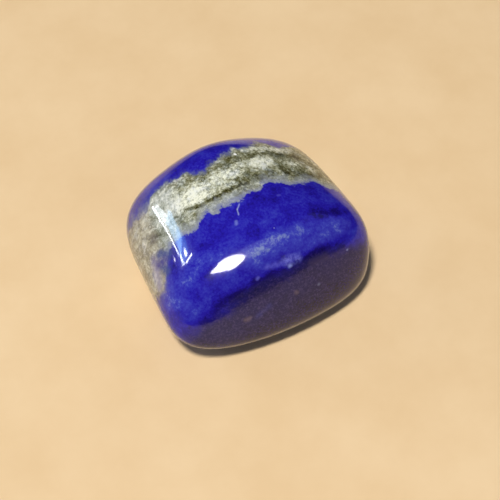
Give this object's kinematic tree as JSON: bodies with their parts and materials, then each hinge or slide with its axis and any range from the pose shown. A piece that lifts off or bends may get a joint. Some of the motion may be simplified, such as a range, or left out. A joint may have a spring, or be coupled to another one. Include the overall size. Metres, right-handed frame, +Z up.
{
  "type": "tumbled lapis lazuli",
  "caption": "Thumb-sized polished pebble: a rounded block of deep blue lapis with a grey-green and cream matrix band, resting on a small flat spot.",
  "frame": {"origin": "on the table, below the middle of the stone's bounding box", "axes": "+X along the stone's length, +Y across it towards its back, +Z up from the flat spot it rests on"},
  "size_m": [0.0286, 0.0246, 0.0165],
  "materials": {
    "polished_lapis": "polished, deep ultramarine with milky clouds, calcite flecks and a band of grey-green and cream matrix"
  },
  "bodies": {
    "root": {"stone": "polished_lapis"}
  },
  "joints": []
}
